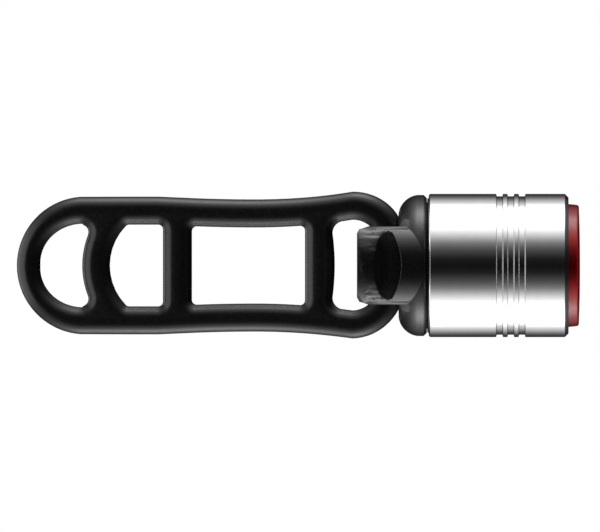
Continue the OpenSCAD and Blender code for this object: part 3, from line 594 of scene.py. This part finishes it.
def strap_mesh(sizes):
    """The strap in its own frame: half-round to the front, flat at the back, with its hook bar."""
    bm = strap_plan(sizes)
    bmesh.ops.translate(bm, verts=bm.verts, vec=(0, 0, sizes.widest - sizes.band / 2))
    made = bmesh.ops.extrude_face_region(bm, geom=bm.faces[:])["geom"]
    lifted = [v for v in made if isinstance(v, bmesh.types.BMVert)]
    bmesh.ops.translate(bm, verts=lifted, vec=(0, 0, sizes.band))
    bmesh.ops.recalc_face_normals(bm, faces=bm.faces)

    corner_v = sizes.loop_half - sizes.loop_radius
    turn = LOOP_SWEEP + math.radians(90)
    end_dir = Vector((math.cos(turn), math.sin(turn)))
    end_mid = Vector((sizes.loop_corner_u, corner_v)) + end_dir * sizes.loop_radius
    ends = [
        f for f in bm.faces
        if abs(f.normal.z) < 0.5
        and (Vector((f.calc_center_median().x, abs(f.calc_center_median().y))) - end_mid).length < MM
    ]
    bmesh.ops.delete(bm, geom=ends, context="FACES_ONLY")

    front = [f for f in bm.faces if f.normal.z < -0.9]
    back = [f for f in bm.faces if f.normal.z > 0.9]
    swell(bm, front, sizes.rail_width / 2, sizes.belly, steps=7, last_angle=75)
    swell(bm, back, sizes.back_edge, sizes.back, steps=3, last_angle=90)

    bar_radius = sizes.hook_bar / 2
    level = (sizes.widest - sizes.belly + sizes.widest + sizes.back) / 2
    rings = []
    for side in (1, -1):
        ring = [e for e in bm.edges if e.is_boundary and e.verts[0].co.y * side > 0]
        for share, width in NECK_RINGS:
            made = bmesh.ops.extrude_edge_only(bm, edges=ring)["geom"]
            fresh = [v for v in made if isinstance(v, bmesh.types.BMVert)]
            for vert in fresh:
                across = (Vector((vert.co.x, vert.co.y * side)) - end_mid).dot(end_dir)
                angle = math.atan2((vert.co.z - level) / SECTION_DEPTH, across / width)
                goal = Vector((
                    -bar_radius * math.cos(angle), sizes.hook_bar_half * side, bar_radius * math.sin(angle)))
                vert.co = vert.co.lerp(goal, share)
            ring = [e for e in made if isinstance(e, bmesh.types.BMEdge) and e.is_boundary]
        rings += ring
    bmesh.ops.bridge_loops(bm, edges=rings)
    bmesh.ops.recalc_face_normals(bm, faces=bm.faces)
    for vert in bm.verts:
        along = max(0.0, 1 - vert.co.x / sizes.flat_u)
        vert.co.y += sizes.set_curl * along ** CURL_POWER
    return bm


class REARLIGHT_OT_strap(bpy.types.Operator):
    """Model the rubber ladder strap with its finger loop, bars and hook bar"""
    bl_idname = "rear_light.strap"
    bl_label = "Strap"

    def execute(self, context):
        sizes = context.scene.rear_light_strap
        bm = strap_mesh(sizes)
        lean = sizes.lean
        place = Matrix((
            (-math.cos(lean), 0, math.sin(lean), sizes.seat_x),
            (math.sin(lean), 0, math.cos(lean), sizes.seat_y),
            (0, 1, 0, 0),
            (0, 0, 0, 1),
        ))
        bmesh.ops.transform(bm, matrix=place, verts=bm.verts)
        shade(bm, math.radians(50))
        rubber = strap_rubber(context.scene.rear_light_finishes.rubber)
        add_piece("rubber_strap", bm, rubber, "strap_body", ("strap",))
        return {"FINISHED"}


class REARLIGHT_OT_barrel(bpy.types.Operator):
    """Turn the aluminium barrel with its grip grooves and chamfers"""
    bl_idname = "rear_light.barrel"
    bl_label = "Barrel"

    def execute(self, context):
        sizes = context.scene.rear_light_barrel
        out = sizes.radius
        profile = [
            (sizes.rear_x, sizes.seal_radius),
            (sizes.rear_x, out - sizes.rear_chamfer),
            (sizes.rear_x + sizes.rear_chamfer, out),
        ]
        for number in range(sizes.grooves):
            start = sizes.groove_x + number * sizes.groove_pitch
            floor = out - sizes.groove_depth
            profile += [
                (start, out), (start + sizes.groove_flank, floor),
                (start + sizes.groove_width - sizes.groove_flank, floor), (start + sizes.groove_width, out),
            ]
        profile += [
            (sizes.front_x - sizes.front_chamfer, out),
            (sizes.front_x, out - sizes.front_chamfer),
            (sizes.front_x, sizes.lip_radius),
            (sizes.lip_x, sizes.lip_radius),
            (sizes.lip_x, sizes.bore_radius),
            (sizes.thread_x, sizes.bore_radius),
            (sizes.thread_x, sizes.thread_radius),
            (sizes.seal_x, sizes.thread_radius),
            (sizes.seal_x, sizes.seal_radius),
        ]
        bm = bmesh.new()
        turn_profile(bm, profile, 144, closed=True)
        close_turned(bm)
        shade(bm, math.radians(60))
        metal = turned_aluminium(context.scene.rear_light_finishes.aluminium)
        piece = add_piece("turned_barrel", bm, metal, "barrel_body", ("barrel",))
        round_edges(piece, sizes.edge)
        return {"FINISHED"}


class REARLIGHT_OT_lens(bpy.types.Operator):
    """Turn the red lens and add the post that presses the switch"""
    bl_idname = "rear_light.lens"
    bl_label = "Lens"

    def execute(self, context):
        sizes = context.scene.rear_light_lens
        rim = sizes.rim_radius
        profile = [(sizes.front_x + sizes.crown, 0.0)]
        profile += [
            (sizes.front_x + sizes.crown * (1 - (step / 6) ** 2), (rim - sizes.edge) * step / 6)
            for step in range(1, 6)
        ]
        profile += arc_points((sizes.front_x - sizes.edge, rim - sizes.edge), sizes.edge, 0, 90, 6)
        profile += [
            (sizes.flange_front_x + sizes.neck_length, sizes.neck_radius),
            (sizes.flange_front_x, sizes.neck_radius),
            (sizes.flange_front_x, sizes.flange_radius),
            (sizes.flange_rear_x, sizes.flange_radius),
            (sizes.flange_rear_x, sizes.cavity_radius),
            (sizes.cavity_x, sizes.cavity_radius),
            (sizes.cavity_x, 0.0),
        ]
        root_x = sizes.cavity_x + sizes.post_bite
        post = [
            (sizes.post_x, 0.0),
            (sizes.post_x, sizes.post_radius - sizes.post_edge),
            (sizes.post_x + sizes.post_edge, sizes.post_radius),
            (root_x - sizes.post_flare, sizes.post_radius),
            (root_x, sizes.post_radius + sizes.post_flare),
            (root_x, 0.0),
        ]
        bm = bmesh.new()
        turn_profile(bm, profile, 128)
        turn_profile(bm, post, 48, drop=sizes.post_drop)
        close_turned(bm)
        shade(bm, math.radians(40))
        red = red_lens(context.scene.rear_light_finishes.lens)
        add_piece("red_lens", bm, red, "lens", ("lens_button",))
        return {"FINISHED"}


def cut_hooks(bm, places, facing, low_x, high_x):
    """Cuts lines across the hooks' faces, at places along an axis."""
    for place in places:
        faces = []
        for face in bm.faces:
            middle = face.calc_center_median()
            if abs(middle.y) > HOOK_FLOOR and abs(middle.z) < HOOK_HALF and low_x < middle.x < high_x:
                faces.append(face)
        edges = list({e for f in faces for e in f.edges})
        verts = list({v for f in faces for v in f.verts})
        bmesh.ops.bisect_plane(
            bm, geom=faces + edges + verts, dist=PLAN_MERGE, plane_co=facing * place, plane_no=facing)


def shoulder_points(bm, left, right):
    """Points of the hooks' outer faces where the head rolls over into the strap seat."""
    bm.normal_update()
    return [
        v for v in bm.verts
        if left - SLACK < v.co.x < right + SLACK and abs(v.co.z) < SHOULDER_HALF
        and abs(v.co.y) > HOOK_FLOOR and v.normal.y * math.copysign(1.0, v.co.y) > 0.3
    ]


def shape_hooks(bm, sizes):
    """Cuts the hooks' faces into a fine grid, lets them fall away at the edges and softens the seat's shoulder."""
    left, right = sizes.shoulder_x - sizes.shoulder, sizes.shoulder_x + sizes.shoulder
    levels = [GRID * step for step in range(-GRID_LINES, GRID_LINES + 1)]
    cut_hooks(bm, levels, Vector((0, 0, 1)), HOOK_REAR, HOOK_FRONT)
    lines = [left + (right - left) * step / SHOULDER_LINES for step in range(SHOULDER_LINES + 1)]
    cut_hooks(bm, lines, Vector((1, 0, 0)), left - MM, right + MM)

    for vert in bm.verts:
        height = abs(vert.co.y)
        reach = math.hypot(vert.co.y, vert.co.z)
        on_dome = vert.co.x > DOME_X and reach < DOME_REACH
        if height < HOOK_FLOOR or abs(vert.co.z) > HOOK_HALF or vert.co.x > HOOK_FRONT or on_dome:
            continue
        deep = min(1.0, (height - HOOK_FLOOR) / FALL_DEPTH)
        if abs(reach - sizes.crown) < CROWN_SLACK:
            height = math.sqrt(sizes.crown ** 2 - vert.co.z ** 2)
        past = max(0.0, abs(vert.co.z) - sizes.fall_start) / (FALL_END - sizes.fall_start)
        vert.co.y = math.copysign(height - sizes.fall * past * past * deep, vert.co.y)

    bmesh.ops.remove_doubles(bm, verts=shoulder_points(bm, left, right), dist=SHOULDER_WELD)
    soft = shoulder_points(bm, left, right)
    for _ in range(SHOULDER_ROUNDS):
        bmesh.ops.smooth_vert(bm, verts=soft, factor=0.5, use_axis_x=False, use_axis_y=True, use_axis_z=False)


class REARLIGHT_OT_cap(bpy.types.Operator):
    """Shape the moulded cap's hooks and lay the thread on its boss"""
    bl_idname = "rear_light.cap"
    bl_label = "Mount cap"

    def execute(self, context):
        sizes = context.scene.rear_light_cap
        finishes = context.scene.rear_light_finishes
        plastic = grained_plastic(finishes.cap_plastic, sizes.edge)
        bm = bmesh.new()
        bm.from_mesh(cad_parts["mount_cap"].data)
        bmesh.ops.remove_doubles(bm, verts=bm.verts, dist=2 * PLAN_MERGE)
        bmesh.ops.dissolve_limit(
            bm, angle_limit=math.radians(0.5), verts=bm.verts[:], edges=bm.edges[:], use_dissolve_boundaries=False)
        shape_hooks(bm, sizes)
        shade(bm, math.radians(32))
        add_piece("moulded_cap", bm, plastic, "mount", ("mount_cap",))

        steps = 64
        ridge = [
            (sizes.thread_start - sizes.thread_foot, sizes.thread_root),
            (sizes.thread_start - sizes.thread_flat, sizes.thread_radius),
            (sizes.thread_start + sizes.thread_flat, sizes.thread_radius),
            (sizes.thread_start + sizes.thread_foot, sizes.thread_root),
        ]
        bm = bmesh.new()
        bmesh.ops.spin(
            bm, geom=draw_profile(bm, ridge, closed=True), cent=(0, 0, 0), axis=(1, 0, 0),
            dvec=(sizes.thread_pitch / steps, 0, 0),
            angle=math.tau * sizes.thread_turns, steps=int(steps * sizes.thread_turns),
        )
        bmesh.ops.holes_fill(bm, edges=[e for e in bm.edges if e.is_boundary], sides=4)
        bmesh.ops.recalc_face_normals(bm, faces=bm.faces)
        shade(bm, math.radians(30))
        add_piece("boss_thread", bm, plastic, "mount")
        return {"FINISHED"}


# Finish, material, how it is made, roughness and the nodes that have it
INNER_FINISHES = (
    ("seal", "seal_rubber", plain_plastic, 0.5, ("cap_o_ring", "lens_seal")),
    ("brass", "contact_metal", plated_metal, 0.25, ("rear_contact", "battery_spring")),
    ("steel", "cell_steel", plated_metal, 0.25, (
        "rear_cell_can", "rear_cell_cap", "front_cell_can", "front_cell_cap")),
    ("gasket", "gasket_plastic", plain_plastic, 0.5, ("rear_cell_gasket", "front_cell_gasket")),
    ("sleeve", "sleeve_plastic", plain_plastic, 0.45, ("engine_sleeve", "board_retainer")),
    ("board", "board_green", plain_plastic, 0.4, ("circuit_board",)),
    ("epoxy", "led_epoxy", plain_plastic, 0.12, ("led_body",)),
    ("tin", "tinned_metal", plated_metal, 0.3, ("led_leads", "switch_cover", "switch_legs", "chip_legs")),
    ("chip", "chip_black", plain_plastic, 0.45, ("switch_housing", "switch_stem", "driver_chip", "resistors")),
    ("ceramic", "capacitor_tan", plain_plastic, 0.5, ("capacitor",)),
)


class REARLIGHT_OT_inside(bpy.types.Operator):
    """Give the seals, cells, board and its parts their finishes"""
    bl_idname = "rear_light.inside"
    bl_label = "Seals and inside"

    def execute(self, context):
        finishes = context.scene.rear_light_finishes
        for finish, name, make, roughness, nodes in INNER_FINISHES:
            coat = make(name, getattr(finishes, finish), roughness)
            for node in nodes:
                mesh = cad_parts[node].data
                mesh.materials.clear()
                mesh.materials.append(coat)
        return {"FINISHED"}


def studio_world(sizes):
    """White to the camera; soft boxes above and below and a softer one beside the strap to everything else."""
    world = bpy.data.worlds.new("studio")
    world.use_nodes = True
    tree = world.node_tree
    tree.nodes.clear()
    place = new_node(tree, "ShaderNodeTexCoord")
    split = new_node(tree, "ShaderNodeSeparateXYZ")
    height = new_node(tree, "ShaderNodeMath", operation="ABSOLUTE")
    ramp = colour_ramp(tree, [(up, (level,) * 3) for up, level in SOFTBOX_LEVELS])
    # The boxes are dimmer behind the light, and the one beside the strap fades with height
    behind = map_range(tree, (0.1, 0.6), (sizes.softbox, sizes.softbox * 0.7), "SMOOTHSTEP")
    boxes = new_node(tree, "ShaderNodeBackground")
    edge = map_range(tree, (-0.62, -0.8), (0.0, 1.0), "SMOOTHSTEP")
    low = map_range(tree, (0.32, 0.62), (1.0, 0.3), "SMOOTHSTEP")
    slot = new_node(tree, "ShaderNodeMath", operation="MULTIPLY")
    beside = new_node(tree, "ShaderNodeBackground")
    beside.inputs["Strength"].default_value = sizes.side
    both = new_node(tree, "ShaderNodeAddShader")
    white = new_node(tree, "ShaderNodeBackground")
    white.inputs["Color"].default_value = (1.0, 1.0, 1.0, 1.0)
    white.inputs["Strength"].default_value = 1.0
    path = new_node(tree, "ShaderNodeLightPath")
    pick = new_node(tree, "ShaderNodeMixShader")
    out = new_node(tree, "ShaderNodeOutputWorld")
    link = tree.links.new
    link(place.outputs["Generated"], split.inputs["Vector"])
    link(split.outputs["Z"], height.inputs[0])
    link(height.outputs["Value"], ramp.inputs["Fac"])
    link(ramp.outputs["Color"], boxes.inputs["Color"])
    link(split.outputs["Y"], behind.inputs["Value"])
    link(behind.outputs["Result"], boxes.inputs["Strength"])
    link(split.outputs["X"], edge.inputs["Value"])
    link(height.outputs["Value"], low.inputs["Value"])
    link(edge.outputs["Result"], slot.inputs[0])
    link(low.outputs["Result"], slot.inputs[1])
    link(slot.outputs["Value"], beside.inputs["Color"])
    link(boxes.outputs["Background"], both.inputs[0])
    link(beside.outputs["Background"], both.inputs[1])
    link(path.outputs["Is Camera Ray"], pick.inputs["Fac"])
    link(both.outputs["Shader"], pick.inputs[1])
    link(white.outputs["Background"], pick.inputs[2])
    link(pick.outputs["Shader"], out.inputs["Surface"])
    return world


def pale_floor(colour):
    """Pale floor that reads white to the camera and can't be seen from below."""
    material, tree, shader = finish_material("pale_floor", colour, 1.0)
    shader.inputs["Specular IOR Level"].default_value = 0.0
    glow = new_node(tree, "ShaderNodeEmission")
    glow.inputs["Strength"].default_value = 0.26
    path = new_node(tree, "ShaderNodeLightPath")
    clear = new_node(tree, "ShaderNodeBsdfTransparent")
    side = new_node(tree, "ShaderNodeNewGeometry")
    lift = new_node(tree, "ShaderNodeAddShader")
    pick = new_node(tree, "ShaderNodeMixShader")
    link = tree.links.new
    link(path.outputs["Is Camera Ray"], glow.inputs["Color"])
    link(shader.outputs["BSDF"], lift.inputs[0])
    link(glow.outputs["Emission"], lift.inputs[1])
    link(side.outputs["Backfacing"], pick.inputs["Fac"])
    link(lift.outputs["Shader"], pick.inputs[1])
    link(clear.outputs["BSDF"], pick.inputs[2])
    link(pick.outputs["Shader"], tree.nodes["Material Output"].inputs["Surface"])
    return material


class REARLIGHT_OT_stage(bpy.types.Operator):
    """Set the camera, the soft studio light and the pale floor"""
    bl_idname = "rear_light.stage"
    bl_label = "Stage"

    def execute(self, context):
        sizes = context.scene.rear_light_stage
        scene = context.scene
        scene.view_settings.view_transform = "Standard"
        scene.world = studio_world(sizes)

        camera = bpy.data.objects.new("camera", bpy.data.cameras.new("camera"))
        scene.collection.objects.link(camera)
        camera.data.type = "ORTHO"
        camera.data.ortho_scale = sizes.frame_width
        camera.location = (sizes.look_x, -sizes.distance, sizes.look_z)
        camera.rotation_euler = (math.radians(90), 0, 0)
        scene.camera = camera

        bm = bmesh.new()
        bmesh.ops.create_grid(bm, x_segments=1, y_segments=1, size=sizes.floor_size)
        bmesh.ops.translate(bm, verts=bm.verts, vec=(0, 0, -sizes.floor_drop))
        mesh = bpy.data.meshes.new("floor")
        bm.to_mesh(mesh)
        bm.free()
        floor = bpy.data.objects.new("floor", mesh)
        scene.collection.objects.link(floor)
        mesh.materials.append(pale_floor(sizes.floor))
        floor.visible_glossy = False
        floor.visible_diffuse = False
        floor.visible_transmission = False
        floor.visible_shadow = False
        return {"FINISHED"}


OPERATORS = (
    REARLIGHT_OT_stage, REARLIGHT_OT_barrel, REARLIGHT_OT_lens, REARLIGHT_OT_cap,
    REARLIGHT_OT_strap, REARLIGHT_OT_inside,
)
GROUPS = {
    "rear_light_strap": StrapSizes,
    "rear_light_barrel": BarrelSizes,
    "rear_light_lens": LensSizes,
    "rear_light_cap": CapSizes,
    "rear_light_finishes": Finishes,
    "rear_light_stage": StageSizes,
}


class REARLIGHT_PT_pieces(bpy.types.Panel):
    """Lists the pieces of the rear light and their sizes"""
    bl_idname = "REARLIGHT_PT_pieces"
    bl_label = "Rear light"
    bl_space_type = "VIEW_3D"
    bl_region_type = "UI"
    bl_category = "Rear light"

    def draw(self, context):
        for operator in OPERATORS:
            self.layout.operator(operator.bl_idname)
        for name, group in GROUPS.items():
            box = self.layout.box()
            settings = getattr(context.scene, name)
            for key in group.__annotations__:
                box.prop(settings, key)


def register():
    for group in GROUPS.values():
        bpy.utils.register_class(group)
    for name, group in GROUPS.items():
        setattr(bpy.types.Scene, name, PointerProperty(type=group))
    for operator in OPERATORS:
        bpy.utils.register_class(operator)
    bpy.utils.register_class(REARLIGHT_PT_pieces)


def unregister():
    bpy.utils.unregister_class(REARLIGHT_PT_pieces)
    for operator in reversed(OPERATORS):
        bpy.utils.unregister_class(operator)
    for name in GROUPS:
        delattr(bpy.types.Scene, name)
    for group in reversed(GROUPS.values()):
        bpy.utils.unregister_class(group)


def main():
    register()
    bpy.ops.rear_light.stage()
    bpy.ops.rear_light.barrel()
    bpy.ops.rear_light.lens()
    bpy.ops.rear_light.cap()
    bpy.ops.rear_light.strap()
    bpy.ops.rear_light.inside()
    bpy.context.view_layer.update()


if __name__ == "__main__":
    main()
